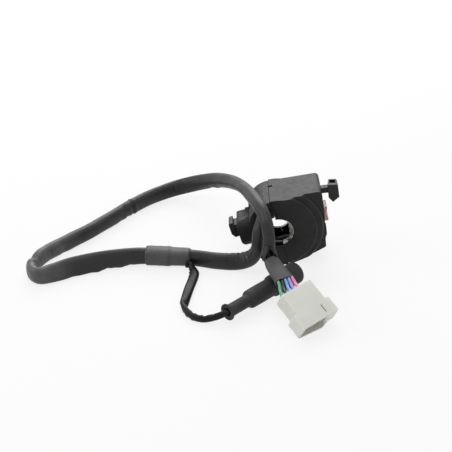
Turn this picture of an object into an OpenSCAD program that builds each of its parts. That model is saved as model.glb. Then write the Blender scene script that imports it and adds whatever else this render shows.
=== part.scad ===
// Handlebar switch cluster with its wiring loom, lying on a table.
// Origin on the handlebar axis at the middle of the casing; +Y runs along the bar, +Z is up.
// Inside the casing u points to the rider and v points up along the split; both lean by lay_tilt.
// On the rider face p points out of the face and q points up along it.

/* [Handlebar] */
// Diameter of the handlebar tube
bar_d = 22.2; // [21.8:0.1:22.6]
// Radial room between the tube and the casing
bar_room = 0.1; // [0.05:0.05:0.2]

/* [Casing] */
// Length of the casing along the bar
case_len = 38; // [38:0.5:42]
// Wall thickness of both halves
wall = 2.6; // [2.2:0.1:2.8]
// Thickness of the end walls
end_wall = 3; // [2.5:0.1:3.2]
// Length of the round boss on the inboard end
boss_len = 5; // [4.5:0.1:5.5]
// Radius of the boss where it meets the casing
boss_r = 35.8; // [34:0.2:37]
// Height of the casing top above the bar axis, at the split
top_v = 27.3; // [27:0.1:28.5]
// Fall of the top towards the rider
top_slope = 6.6; // [5:0.2:7]
// Distance from the bar axis to the rider face
face_dist = 37; // [36.8:0.1:38]
// Lean of the rider face against the split
face_tilt = 10; // [9:0.5:10.5]
// Depth of the front half from the split
front_depth = 21.5; // [21:0.1:23]
// Roundness of the front half's shoulder
shoulder_r = 20; // [16:0.5:21]
// Lean of the casing as it lies on the table
lay_tilt = 17; // [15:0.5:18]
// Height of the bar axis above the table
rest_height = 30.3; // [30:0.1:31]
// Depth of the recess for the grip's flange at the outboard end
recess_len = 9.5; // [8:0.5:9.5]
// Radius of that recess
recess_r = 17.5; // [16:0.1:17.5]

/* [Controls] */
// Height of the turn lever on the rider face
lever_q = 16.5; // [16.2:0.1:16.6]
// Travel of the turn lever to each side
lever_travel = 4; // [3:0.1:4]
// Height of the hazard rocker's pivot on the rider face
rocker_q = -1; // [-1.4:0.1:-0.8]
// Length of the hazard rocker
rocker_len = 12.4; // [12:0.1:12.6]
// Height of the horn button on the rider face
horn_q = -18.5; // [-18.7:0.1:-18.3]
// Radius of the horn button
horn_r = 5.6; // [5:0.1:5.7]
// Travel of the horn button
horn_travel = 2; // [1.5:0.1:2.2]
// Height of the pass trigger on the front half
trigger_v = 4.6; // [4:0.1:4.8]
// Travel of the pass trigger
trigger_travel = 2.5; // [1.5:0.1:2.5]

/* [Loom] */
// Width of the flat loom sheath
sheath_w = 14; // [13.6:0.1:14.2]
// Thickness of the flat loom sheath
sheath_t = 8.6; // [8.2:0.1:8.8]
// Width of the branch sheath where it lies flat
branch_w = 8; // [7.6:0.1:8.2]
// Thickness of the branch sheath where it lies flat
branch_t = 4.6; // [4.2:0.1:4.8]
// Diameter of one wire
wire_d = 2.4; // [2.2:0.1:2.4]
// Radius of the wide part of the rubber boot
boot_r = 8.5; // [8:0.1:8.6]

/* [Fits] */
// Room beside a part that slides or turns in an opening
slide_room = 0.3; // [0.25:0.05:0.4]
// Radial room of a running pin
pin_room = 0.05; // [0.03:0.01:0.08]
// Half of the gap at the casing split
seam = 0.2; // [0.05:0.05:0.25]

/* [Hidden] */
$fn = 64;

near_y = -case_len/2;
far_y = case_len/2;
block_y = near_y + boss_len;
cavity_y = block_y + wall;
floor_z = -rest_height;
bore_r = bar_d/2 + bar_room;
tunnel_r = bore_r + 2;
recess_y = far_y - recess_len;
cup_r = recess_r + 2;
hump_r = top_v + 0.7;

// Places of the fasteners, as [u end, v, y]
screw_r = 2.5;
screw_boss_r = 4.6;
screw_seat = -9;
case_screw_at = [[13, 19.5, 2], [9.5, -21, 2]];
pod_screw_y = [-8.2, 4.4];
pod_screw_v = -6.5;

// Cable outlet in the inboard end, beside the bar
outlet = [-6.5, 16.5];
outlet_r = 8.6;
cable_at = [-6, 18];

// Depths of the switch stack behind the rider face
plate_p = 15 - face_dist;
plate_t = 1.2;
bench_p = plate_p + plate_t;
lever_y = 0;
stalk_q = lever_q + 0.8;
stack_lo = cavity_y + 1.3;
stack_hi = recess_y - 2.4;
control_y = (stack_lo + stack_hi)/2;
stack_half = (stack_hi - stack_lo)/2;
rocker_half = stack_half - 2.6;
lever_half = lever_y - cavity_y - lever_travel - 1.4;
post_y = far_y - end_wall - 2.8;
post_q = [13, -23.3];
flange_p = -wall - slide_room;
rocker_pivot = flange_p - 1.7;

// Pod of the pass trigger
pod_v = 1.5;
pod_w = 24;
pod_wall = 2.2;
pod_fall = 0.8;
bench_t = 1.9;
terminal_t = 1.5;
contact_t = 0.6;
stop_t = 1.3;
pod_out = front_depth + bench_t + terminal_t + trigger_travel + contact_t + stop_t + pod_wall + slide_room;
stem_v = trigger_v - 1.6;
stem_half = 5.4;
stem_low = 5.2;
stem_high = 5.8;
trigger_back = -pod_out - trigger_travel - slide_room;
trigger_stop = -pod_out + pod_wall + 0.1;
trigger_in = trigger_stop + stop_t;
trigger_bench = -front_depth - bench_t;

// Outlines
function rest(u) = -(rest_height + u*sin(lay_tilt))/cos(lay_tilt);
function face_at(v) = face_dist + v*tan(face_tilt);
function top_at(u) = top_v - u*tan(top_slope);
corner_u = (face_dist + top_v*tan(face_tilt))/(1 + tan(face_tilt)*tan(top_slope));
function rear_outline(u0) = [[u0, rest(u0)], [3.5, rest(3.5)], [22, -29.8], [face_at(-27), -27],
    [corner_u, top_at(corner_u)], [u0, top_at(u0)]];
rear_round = [0, 1.5, 4, 2.5, 3.5, 0];
function front_outline(u0) = [[u0, top_v], [-front_depth, top_v], [-front_depth, -15], [-18, rest(-18)],
    [u0, rest(u0)]];
front_round = [0, shoulder_r, 5, 2.5, 0];

function unit(a) = a/norm(a);
function left_of(a) = unit([-a[1], a[0]]);
function around(q, i) = q[(i + len(q)) % len(q)];
function moved_corner(a, p, b, d) = let (m = left_of(p - a), n = left_of(b - p)) p + (m + n)*d/(1 + m*n);
function inset(q, d) = [for (i = [0:len(q) - 1]) moved_corner(around(q, i - 1), q[i], around(q, i + 1), d)];
function arc_corner(a, p, b, r) =
    let (e = unit(a - p), f = unit(b - p), h = acos(e*f)/2)
    let (c = p + unit(e + f)*r/sin(h), s = p + e*r/tan(h) - c, a0 = atan2(s[1], s[0]))
    [for (k = [0:10]) c + r*[cos(a0 + k*(18 - h/5)), sin(a0 + k*(18 - h/5))]];
function rounded(q, r) = [for (i = [0:len(q) - 1])
    each (r[i] <= 0 ? [q[i]] : arc_corner(around(q, i - 1), q[i], around(q, i + 1), r[i]))];
function box_outline(w, h) = [[-w/2, -h/2], [w/2, -h/2], [w/2, h/2], [-w/2, h/2]];

module posed() rotate([0, -lay_tilt, 0]) children();
module face_frame() translate([face_dist, 0, 0]) rotate([0, face_tilt, 0]) children();
module on_face() posed() face_frame() children();
module along_bar(y0, y1) translate([0, y1, 0]) rotate([90, 0, 0]) linear_extrude(y1 - y0) children();
module bar_cyl(r, y0, y1) rotate([-90, 0, 0]) translate([0, 0, y0]) cylinder(r = r, h = y1 - y0);
module out_cyl(r, p0, p1) translate([p0, 0, 0]) rotate([0, 90, 0]) cylinder(r = r, h = p1 - p0);
module out_cone(r0, r1, p0, p1) translate([p0, 0, 0]) rotate([0, 90, 0])
    cylinder(r1 = r0, r2 = r1, h = p1 - p0);
module box(x, y, z) translate([x[0], y[0], z[0]]) cube([x[1] - x[0], y[1] - y[0], z[1] - z[0]]);
module along_u(u0, u1) translate([u0, 0, 0]) rotate([90, 0, 90]) linear_extrude(u1 - u0) children();
module rider_side() intersection() {
    children();
    box([seam, 80], [-60, 60], [-80, 80]);
}
module front_side() intersection() {
    children();
    box([-80, -seam], [-60, 60], [-80, 80]);
}

// Tube through rings of points, each ring turning anticlockwise about the way it goes
module skin(rings) {
    n = len(rings);
    m = len(rings[0]);
    sides = [for (i = [0:n - 2]) for (j = [0:m - 1]) let (a = i*m + j, b = i*m + (j + 1) % m)
        each [[a, a + m, b + m], [a, b + m, b]]];
    ends = [[for (j = [0:m - 1]) j], [for (j = [m - 1:-1:0]) (n - 1)*m + j]];
    polyhedron(points = [for (r = rings) each r], faces = concat(sides, ends), convexity = 8);
}
function blend(a, b, c, d, t) = (2*b + (c - a)*t + (2*a - 5*b + 4*c - d)*t*t + (3*b - a - 3*c + d)*t*t*t)/2;
function smooth(q, k) = let (n = len(q)) concat([for (i = [0:n - 2]) for (s = [0:k - 1])
    blend(q[max(i - 1, 0)], q[i], q[i + 1], q[min(i + 2, n - 1)], s/k)], [q[n - 1]]);
function place(q) = [q[0], q[1], q[2]];
function heading(q, i) = unit(place(q[min(i + 1, len(q) - 1)]) - place(q[max(i - 1, 0)]));
function oval(c, way, up, turn, a, b, m) =
    let (n = unit(up - (up*way)*way), s = cross(way, n), w = s*cos(turn) + n*sin(turn), t = cross(way, w))
    [for (k = [0:m - 1]) c + w*a*cos(360*k/m) + t*b*sin(360*k/m)];
function flat(w) = min(sheath_w + sheath_t - w, 0.85*w);
function lay(x, y, turn, w) = [x, y, floor_z + norm([w*sin(turn), flat(w)*cos(turn)])/2, turn, w];
function sheath_rings(q, up) = [for (i = [0:len(q) - 1])
    oval(place(q[i]), heading(q, i), up, q[i][3], q[i][4]/2, flat(q[i][4])/2, 10)];
function branch_thick(w) = branch_t + (w - branch_w)*0.05;
function branch_rings(q) = [for (i = [0:len(q) - 1])
    oval(place(q[i]), heading(q, i), [0, 0, 1], q[i][3], q[i][4]/2, branch_thick(q[i][4])/2, 8)];
module wound(r, wire, length, turns) skin([for (i = [0:turns*8]) let (t = i*45, out = [0, cos(t), sin(t)])
    [for (k = [0:5]) [wire + (length - 2*wire)*i/(turns*8), 0, 0]
        + out*(r + wire*cos(60*k)) - [1, 0, 0]*wire*sin(60*k)]]);

// Casing
module boss_turned() rotate([-90, 0, 0]) rotate_extrude() polygon([[0, near_y], [29.6, near_y],
    [30.4, near_y + 0.8], [31, near_y + 2.6], [34.6, near_y + 2.6], [boss_r, near_y + 3.8], [boss_r, block_y],
    [0, block_y]]);
module bar_tunnel() {
    bar_cyl(tunnel_r, near_y, far_y);
    bar_cyl(cup_r, recess_y - 2, far_y);
}
module bar_way() {
    bar_cyl(bore_r, near_y - 1, far_y + 1);
    bar_cyl(recess_r, recess_y, far_y + 1);
    translate([outlet[0], 0, outlet[1]]) bar_cyl(outlet_r, near_y - 1, near_y + end_wall + 0.1);
    box([-9.5, 7], [near_y + 5.5, recess_y - 2.5], [-16, -6]);
}
module screw_bores() for (s = case_screw_at) translate([0, s[2], s[1]]) {
    out_cyl(screw_r + pin_room, -30, s[0] - 1.5);
    out_cyl(screw_r + 2, -40, screw_seat);
}
module face_openings() face_frame() {
    lever_room = 2.6 + lever_travel + slide_room;
    box([-wall - 1, 1], [lever_y - lever_room, lever_y + lever_room],
        [stalk_q - 2.3 - slide_room, stalk_q + 2.3 + slide_room]);
    box([-wall - 1, 2], [control_y - rocker_half - slide_room, control_y + rocker_half + slide_room],
        [rocker_q - rocker_len/2 - 3*slide_room, rocker_q + rocker_len/2 + 3*slide_room]);
    translate([0, control_y, horn_q]) out_cyl(horn_r + slide_room, -wall - 1, 2);
    for (q = post_q) translate([0, post_y, q]) out_cyl(1.5 + pin_room, plate_p, -12);
    box([plate_p - 3.5, plate_p + 3], [stack_lo + 0.1, stack_hi - 2.1], [-14.5, 1.5]);
}
module rear_case() color("#2c2c2d") posed() difference() {
    union() {
        difference() {
            union() {
                along_bar(block_y, far_y) polygon(rounded(rear_outline(seam), rear_round));
                intersection() {
                    along_bar(near_y, block_y + 0.5) polygon(rounded(rear_outline(seam), rear_round));
                    boss_turned();
                }
                rider_side() bar_cyl(hump_r, near_y, far_y);
                face_frame() box([-1, 0.8], [control_y - rocker_half - 1.6, control_y + rocker_half + 1.6],
                    [rocker_q - rocker_len/2 - 2.2, rocker_q + rocker_len/2 + 2.2]);
                face_frame() translate([0, control_y, horn_q]) out_cyl(horn_r + 1.5, -1, 0.8);
            }
            along_bar(cavity_y, far_y - end_wall) polygon(inset(rear_outline(-10), wall));
            intersection() {
                along_bar(near_y + end_wall, cavity_y + 0.1) polygon(inset(rear_outline(-10), wall));
                bar_cyl(27, near_y, 0);
            }
        }
        rider_side() {
            bar_tunnel();
            for (s = case_screw_at) translate([0, s[2], s[1]]) out_cyl(screw_boss_r, 0, s[0]);
            intersection() {
                along_bar(0.8, 3.2) polygon(inset(rear_outline(-10), wall/2));
                box([0, 9], [0, 4], [-40, -17]);
            }
        }
        face_frame() for (q = post_q) translate([0, post_y, q]) out_cyl(2.4, bench_p, -1);
    }
    bar_way();
    screw_bores();
    face_openings();
    box([-1, 3.2], [5.5, 8], [top_v - 2, top_v + 5]);
}
module front_case() color("#323233") posed() difference() {
    union() {
        difference() {
            along_bar(near_y, far_y) polygon(rounded(front_outline(-seam), front_round));
            along_bar(near_y + end_wall, far_y - end_wall)
                polygon(rounded(inset(front_outline(10), wall), [for (r = front_round) max(r - wall, 0)]));
        }
        front_side() {
            bar_tunnel();
            intersection() {
                along_bar(near_y, far_y) polygon(rounded(front_outline(-seam), front_round));
                for (s = case_screw_at) translate([0, s[2], s[1]]) out_cyl(screw_boss_r, -40, 0);
            }
        }
    }
    bar_way();
    front_side() bar_cyl(14.5, near_y - 1, near_y + 4);
    screw_bores();
    translate([0, 0, stem_v]) out_cyl(1.2, -40, -15);
    for (y = pod_screw_y) translate([0, y, pod_screw_v]) out_cyl(1.5 + pin_room, -40, -15);
}
module case_screws() color("#8d8f92") posed() for (s = case_screw_at)
    translate([0, s[2], s[1]]) difference() {
    union() {
        out_cyl(screw_r, screw_seat - 0.5, s[0] - 2);
        out_cyl(screw_r + 1.8, screw_seat - 3, screw_seat);
    }
    box([screw_seat - 4, screw_seat - 1.6], [-2.6, 2.6], [-0.5, 0.5]);
    box([screw_seat - 4, screw_seat - 1.6], [-0.5, 0.5], [-2.6, 2.6]);
}

// Pod and pass trigger
module pod_block(grow) intersection() {
    translate([0, 0, pod_v]) along_u(-pod_out + grow, -10)
        polygon(rounded(box_outline(pod_w - 2*grow, pod_w - 2*grow), (6 - grow)*[1, 1, 1, 1]));
    along_bar(-30, 30) polygon(rounded([[-10, pod_v + pod_w/2 - grow], [-front_depth, pod_v + pod_w/2 - grow],
        [-pod_out + grow, pod_v + pod_w/2 - pod_fall - grow], [-pod_out + grow, pod_v - pod_w/2 + grow],
        [-10, pod_v - pod_w/2 + grow]], [0, 0, 4 - grow, 7 - grow, 0]));
}
module trigger_pod() color("#2a2a2b") posed() difference() {
    union() {
        difference() {
            union() {
                pod_block(0);
                translate([0, 0, pod_v]) along_u(-front_depth - 1.8, -10)
                    polygon(rounded(box_outline(pod_w + 2, pod_w + 2), [6.5, 6.5, 6.5, 6.5]));
            }
            pod_block(pod_wall);
        }
        for (y = pod_screw_y) translate([0, y, pod_screw_v]) out_cyl(2.7, -28.5, -front_depth);
    }
    along_bar(-40, 40) polygon(rounded(front_outline(0), front_round));
    translate([0, 0, stem_v]) box([-40, trigger_in], [-stem_half - slide_room, stem_half + slide_room],
        [-stem_low - slide_room, stem_high + slide_room]);
    for (y = pod_screw_y) translate([0, y, pod_screw_v]) out_cyl(1.5 + pin_room, -27.5, -10);
}
module pod_screws() color("#8d8f92") posed() for (y = pod_screw_y)
    translate([0, y, pod_screw_v]) {
        out_cyl(1.5, -27, -front_depth + wall);
        out_cyl(2.6, -front_depth + wall, -front_depth + wall + 1.7);
    }
module pass_trigger() color("#4a4a4b") posed() {
    translate([0, 0, trigger_v]) along_bar(-6, 6) polygon([[trigger_back, -6.6], [trigger_back, 6.6],
        [trigger_back - 2.6, 6.6], [trigger_back - 3.7, 5.4], [trigger_back - 3.7, -3.2],
        [trigger_back - 1.4, -6.6]]);
    translate([0, 0, stem_v]) {
        box([trigger_back - 0.5, trigger_in], [-stem_half, stem_half], [-stem_low, stem_high]);
        box([trigger_stop, trigger_in], [-stem_half - 2, stem_half + 2], [-stem_low, stem_high]);
    }
}
module trigger_spring() color("#b8babd") posed() translate([trigger_in, 0, stem_v])
    wound(2.5, 0.25, trigger_bench - trigger_in, 3);
module trigger_contact() color("#b9975b") posed() translate([0, 0, stem_v]) difference() {
    out_cyl(5, trigger_in, trigger_in + contact_t);
    out_cyl(3.2, trigger_in - 1, trigger_in + 1);
}
module trigger_base() color("#6b4a2c") posed() difference() {
    translate([0, 0, stem_v]) box([trigger_bench, -front_depth + 1], [-6.2, 6.2], [-6, 6]);
    along_bar(-40, 40) polygon(rounded(front_outline(0), front_round));
}
module trigger_terminals() color("#b9975b") posed() for (s = [-4.1, 4.1]) translate([0, s, stem_v])
    out_cyl(1, trigger_bench - terminal_t, trigger_bench);

// Switch stack on the zinc plate
module switch_plate() color("#b4b7ba") on_face() difference() {
    union() {
        box([plate_p, bench_p], [stack_lo, stack_hi], [-22.5, 18.6]);
        box([plate_p, bench_p], [0, post_y + 2.2], [9.5, 16.5]);
        box([plate_p, bench_p], [0, post_y + 2.2], [post_q[1] - 2.3, -20]);
    }
    for (q = post_q) translate([0, post_y, q]) out_cyl(1.5 + pin_room, plate_p - 1, bench_p + 1);
    for (y = [control_y - 4.5, control_y + 1.5]) translate([0, y, -6.4])
        box([plate_p - 1, bench_p + 1], [-0.9, 0.9], [-5.5, 5.5]);
}
module plate_screws() color("#8d8f92") on_face() for (q = post_q) translate([0, post_y, q]) {
    out_cyl(1.5, plate_p, -13);
    out_cyl(2.2, plate_p - 1, plate_p);
}
module turn_lever() color("#343435") on_face() translate([0, lever_y, 0]) difference() {
    union() {
        box([flange_p - 1, 9.2], [-2.6, 2.6], [stalk_q - 2.3, stalk_q + 2.3]);
        box([flange_p - 3.3, flange_p], [-lever_half, lever_half], [lever_q - 5.3, lever_q + 3]);
        box([-10, flange_p - 3], [2 - lever_half, lever_half - 2], [lever_q - 5, lever_q + 2]);
    }
    translate([0, 0, lever_q - 1.5]) out_cyl(1.6, -11, -4.4);
}
module lever_knob() color("#39393a") on_face() translate([0, lever_y, 0]) difference() {
    intersection() {
        along_bar(-5, 5) polygon([[5, lever_q + 6.6], [5.4, lever_q - 5], [8.6, lever_q - 9],
            [13.8, lever_q - 5], [13.2, lever_q + 6]]);
        linear_extrude(60) polygon([[5, -5], [14, -5], [12.8, 5], [6.6, 5]]);
    }
    box([0, 9.2], [-2.6, 2.6], [stalk_q - 2.3, stalk_q + 2.3]);
    box([7.2, 11.8], [-1.6, 3.8], [lever_q + 3.4, lever_q + 12]);
}
module detent_spring() color("#b8babd") on_face()
    translate([-8.75, lever_y, lever_q - 1.5]) wound(1.2, 0.2, 4.3, 3);
module detent_ball() color("#d0d2d4") on_face() translate([-10.3, lever_y, lever_q - 1.5]) sphere(r = 1.5);
module turn_contact() color("#b9975b") on_face() translate([0, lever_y, 0])
    box([-10.6, -10], [2.5 - lever_half, lever_half - 2.5], [lever_q + 0.2, lever_q + 1.9]);
module turn_base() color("#6b4a2c") on_face() difference() {
    box([bench_p, -11.6], [stack_lo + 0.1, stack_hi - 0.1], [8, 18.6]);
    for (k = [-1, 0, 1]) translate([-11.2, lever_y + k*lever_travel, lever_q - 1.5]) sphere(r = 1.7);
    box([-11.9, -11], [stack_lo - 1, stack_hi + 1], [lever_q - 3, lever_q]);
}
module turn_terminals() color("#b9975b") on_face() for (k = [-1, 0, 1])
    translate([0, lever_y + k*lever_travel, lever_q + 1]) out_cyl(0.8, -11.6, -10.9);

// Hazard rocker
module at_rocker() on_face() translate([0, control_y, rocker_q]) children();
module hazard_rocker() color("#b5323c") at_rocker() difference() {
    union() {
        along_bar(-rocker_half, rocker_half) polygon([[-7.4, -3.2], [-5, -6], [-1, -rocker_len/2],
            [3.5, -rocker_len/2], [3.9, -rocker_len/2 + 1.4], [2.4, 0], [3.4, rocker_len/2 - 1.4],
            [2.9, rocker_len/2], [-1, rocker_len/2], [-5, 6], [-7.4, 3.2]]);
        box([-10, -6], [-3, 3], [-2.6, 2.6]);
    }
    translate([rocker_pivot, 0, 0]) bar_cyl(1.2 + pin_room, -8, 8);
    out_cyl(1.6, -11, -6.2);
}
module rocker_pin() color("#a9abae") at_rocker() translate([rocker_pivot, 0, 0])
    bar_cyl(1.2, 0.2 - stack_half, stack_half - 0.2);
module rocker_frame() color("#232324") at_rocker() difference() {
    union() {
        box([bench_p, -15], [-stack_half, stack_half], [-9, 9]);
        for (s = [-1, 1]) translate([0, s*(stack_half - 1), 0]) box([-16, flange_p], [-1, 1], [-6, 6]);
        box([-16, -13.7], [-3, 3], [-1, 1]);
    }
    translate([rocker_pivot, 0, 0]) bar_cyl(1.2 + pin_room, -9, 9);
}
module rocker_plunger() color("#d8d4c4") at_rocker() {
    out_cyl(1.45, -10.7, -8.8);
    translate([-10.7, 0, 0]) sphere(r = 1.45);
}
module rocker_spring() color("#b8babd") at_rocker() translate([-8.8, 0, 0]) wound(1.1, 0.2, 2.55, 2);
module rocker_seesaw() color("#b9975b") at_rocker() {
    box([-12.7, -12.2], [-2.2, 2.2], [-5.6, 5.6]);
    translate([-12.9, 0, 0]) bar_cyl(0.7, -2.2, 2.2);
}
module rocker_terminals() color("#b9975b") at_rocker() for (s = [-5, 5])
    translate([0, 0, s]) out_cyl(1, -15, -13.8);

// Horn button
module at_horn() on_face() translate([0, control_y, horn_q]) children();
module horn_button() color("#2e2e2f") at_horn() {
    out_cyl(horn_r, flange_p, 1.2);
    out_cone(horn_r, horn_r - 0.8, 1.2, 1.8);
    out_cyl(6.5, flange_p - 1.5, flange_p);
}
module horn_spring() color("#b8babd") at_horn()
    translate([-11.5, 0, 0]) wound(2.8, 0.35, flange_p - 1.5 + 11.5, 4);
module horn_contact() color("#b9975b") at_horn() difference() {
    out_cyl(6, flange_p - 2.1, flange_p - 1.5);
    out_cyl(3.5, flange_p - 3, flange_p - 1);
}
module horn_base() color("#6b4a2c") at_horn() out_cyl(6.2, bench_p, -11.5);
module horn_terminals() color("#b9975b") at_horn() for (s = [-4.8, 4.8]) translate([0, s, 0])
    out_cyl(1, -11.5, flange_p - 2.1 - horn_travel - 0.2);

// Loom: route points are [x, y, z, turn of the wide side, width]; they lie on the table or on the casing
on_edge = floor_z + sheath_w/2;
cable_d = (sheath_w + sheath_t)/2;
lead_up = [1, 1, 0];
lead_out = [cable_at[0]*cos(lay_tilt) - cable_at[1]*sin(lay_tilt),
    cable_at[0]*sin(lay_tilt) + cable_at[1]*cos(lay_tilt)];
lead_route = [[lead_out[0], -8, lead_out[1], 90, cable_d], [lead_out[0], -19, lead_out[1], 90, cable_d],
    [-12.8, -26, 14.4, 95, 11.6], [-15.6, -31.6, 8.6, 106, 12.2], [-16.6, -33, 0.2, 118, 12.6],
    [-17.6, -32.2, -8, 134, 12.8], [-21, -30.4, -15.6, 150, 13], [-28, -27.8, -21, 166, 13.4],
    [-38, -26, on_edge + 0.2, 174, 14], [-50, -24.5, on_edge, 176, 14], [-61, -21.5, on_edge, 178, 14],
    [-71, -19.4, on_edge, 180, 14]];
loop_route = [lay(-105, -17, 90, 14), lay(-116, -18, 86, 14.4), lay(-138, -24.3, 74, 15.6),
    lay(-160, -33, 62, 16), lay(-176, -42, 70, 14.8), lay(-186, -46, 84, 14), lay(-192.6, -40, 90, 13.6),
    lay(-193.4, -28.5, 92, 13.4), lay(-186, -12, 96, 13.4), lay(-171, 6, 98, 13.2), lay(-155, 25, 100, 13),
    lay(-138, 48, 100, 13), lay(-122, 69.5, 100, 13.4), [-104, 86, -22.4, 102, 13.8],
    [-84, 95, -19.6, 106, 14], [-66, 88, -11.3, 110, 14], [-51, 72.5, -1, 116, 13.4],
    [-39.5, 53, 8, 122, 11.8], [-30.5, 30, 16.2, 126, 10.8], [-24.5, 8, 22, 126, 10.4],
    [-19.5, -14, 26.2, 126, 10.4], [-15.1, -31, 27.3, 118, 10.4], [-11.4, -42, 22.4, 106, 10],
    [-9.4, -46.8, 12.5, 102, 10], [-9, -49.5, 3, 108, 11], [-8.2, -53.5, -4.2, 146, 12.4]];
end_route = [[-8.2, -53.5, -4.2, 156], [-3.6, -63, -7, 172], [1.6, -74, -9.4, 180]];
branch_route = [[-73, -25, -25.6, 90, 7], [-69.6, -27, -26.2, 75, 7.4], [-67.4, -31.8, -27.2, 35, 8],
    [-67, -39.5, floor_z + branch_t/2, 0, branch_w], [-70, -57.5, floor_z + branch_t/2, 0, branch_w],
    [-72.4, -73, floor_z + branch_t/2 + 0.2, 10, 7.4], [-72.8, -81.5, -27.3, 60, 6.8],
    [-70.3, -88.5, -27.2, 90, 6.2], [-65.1, -94.5, -27.3, 90, 5.8], [-58, -97.5, -27, 90, 5.6],
    [-50.5, -98, -25.4, 90, 5.4], [-44.5, -97.4, -23.4, 90, 5.2], [-39.6, -95.6, -21.9, 90, 5],
    [-30, -86, -21.8, 90, 5]];
wire_from = [1.6, -74, -9.4];
sheath_fine = 2;

module cable_grommet() color("#1f1f20") posed() difference() {
    union() {
        translate([outlet[0], 0, outlet[1]]) bar_cyl(outlet_r - 0.05, near_y + 0.6, near_y + end_wall + 0.1);
        intersection() {
            translate([outlet[0], 0, outlet[1]])
                bar_cyl(outlet_r + 1.4, near_y + end_wall + 0.05, near_y + 4.8);
            along_bar(near_y, 0) polygon(rounded(inset(front_outline(1.5), wall + 0.3),
                [0, shoulder_r - wall - 0.3, 0, 0, 0]));
        }
    }
    bar_cyl(14.8, near_y - 1, near_y + 9);
    translate([cable_at[0], 0, cable_at[1]]) bar_cyl(cable_d/2 + 0.1, near_y - 1, near_y + 9);
}
module harness_lead() color("#3c3c3d")
    skin(sheath_rings(smooth(lead_route, sheath_fine), lead_up));
module harness_loop() color("#3c3c3d")
    skin(sheath_rings(smooth(loop_route, sheath_fine), [0, 0, 1]));
module end_sleeve() color("#454546") skin([for (k = [0:4]) let (q = smooth(end_route, 2), s = k/4)
    oval(place(q[k]), heading(q, k), [0, 0, 1], q[k][3], 6.6 + 0.8*s, 4.6 - 1.2*s, 12)]);
module junction_sleeve() color("#4b4b4c") skin([for (k = [0:4])
    let (s = k/4, round_end = k == 0 || k == 4 ? 0.6 : 0)
    oval([-71 - 34*s, -19.6 + 2.6*s, floor_z + 7.5], [-1, 0, 0], [0, 0, 1], 90,
        7.5 - round_end, 7.2 - round_end, 12)]);

// Wires from the end sleeve to the connector, counted from the left: 0 to 4 upper row, 5 to 8 lower row
conn_at = [15.7, -98.5, -16.5];
conn_len = 30;
conn_w = 33.8;
conn_t = 12.8;
conn_step = 3;
conn_flange = 12.2;
conn_turn = [27, -5, 41];
sleeve_side = [0.89, 0.45, 0.06];
module at_connector() translate(conn_at) rotate([0, 0, conn_turn[2]]) rotate([conn_turn[0], 0, 0])
    rotate([0, conn_turn[1], 0]) children();
function turned(a) = let (r = conn_turn[1], s = conn_turn[0], h = conn_turn[2])
    let (b = [a[0]*cos(r) + a[2]*sin(r), a[1], -a[0]*sin(r) + a[2]*cos(r)])
    let (c = [b[0], b[1]*cos(s) - b[2]*sin(s), b[1]*sin(s) + b[2]*cos(s)])
    [c[0]*cos(h) - c[1]*sin(h), c[0]*sin(h) + c[1]*cos(h), c[2]];
pin_pitch = 3.9;
pin_mid = -3.5;
function pin_x(k) = pin_mid + (k < 5 ? k - 2 : k - 6.5)*pin_pitch;
function pin_z(k) = k < 5 ? 2.3 : -2.3;
function sleeve_spot(k) = wire_from + sleeve_side*(k < 5 ? (k - 2)*2.9 : (k - 6.5)*2.9)
    + [0, 0, k < 5 ? 1.25 : -1.25];
function curve(a, b, c, d, t) = a*pow(1 - t, 3) + 3*b*t*pow(1 - t, 2) + 3*c*t*t*(1 - t) + d*pow(t, 3);
function wire_way(k) = let (a = sleeve_spot(k), b = conn_at + turned([pin_x(k), conn_len/2 - 3, pin_z(k)]))
    let (way = unit([10, -21, -4]), back = turned([0, 1, 0]))
    [for (i = [0:8]) curve(a - 0.3*way, a + 6*way, b + 9*back, b, i/8)];
module wire(k, c) color(c) let (q = wire_way(k)) skin([for (i = [0:len(q) - 1])
    oval(q[i], heading(q, i), [0, 0, 1], 0, wire_d/2, wire_d/2, 8)]);
module wire_green() wire(0, "#4b9673");
module wire_white() wire(5, "#d8d8d2");
module wire_black() {
    wire(1, "#242426");
    wire(6, "#242426");
}
module wire_blue() wire(2, "#5f9be1");
module wire_olive() wire(7, "#6e6b48");
module wire_navy() wire(8, "#2c3350");
module wire_purple() wire(3, "#aa82c8");
module wire_pink() wire(4, "#eb78a0");
module connector_shell() color("#d6d8cc") at_connector() difference() {
    union() {
        box([-conn_w/2 + conn_step, conn_w/2 - conn_step], [-conn_len/2 + 1, conn_len/2],
            [-conn_t/2 + 0.5, conn_t/2]);
        box([-conn_w/2, conn_w/2], [-conn_len/2, -conn_len/2 + conn_flange], [-conn_t/2, conn_t/2]);
        translate([0, 0, 0.2 - conn_t/2]) linear_extrude(1.4) polygon([[-conn_w/2, 1 - conn_len/2],
            [-conn_w/2 + 0.5, -conn_len/2 - 0.4], [4, -conn_len/2 - 2.2], [10, -conn_len/2 - 0.5],
            [11, 1 - conn_len/2]]);
    }
    box([-conn_w/2 + 2.3, 6.2], [-conn_len/2 - 1, -conn_len/2 + conn_flange - 2],
        [-conn_t/2 + 1.6, conn_t/2 - 1.6]);
    box([6.9, 7.9], [-conn_len/2 + 3, -conn_len/2 + 9.5], [conn_t/2 - 3, conn_t/2 + 1]);
    for (k = [0:8]) translate([pin_x(k), conn_len/2 - 3.2, pin_z(k)]) bar_cyl(wire_d/2 + 0.4, 0, 4);
}
module connector_terminals() color("#b9975b") at_connector() for (k = [0:8])
    translate([pin_x(k), 0, pin_z(k)])
    box([-1.1, 1.1], [-conn_len/2 + 5.6, -conn_len/2 + conn_flange - 2], [-0.35, 0.35]);

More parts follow.
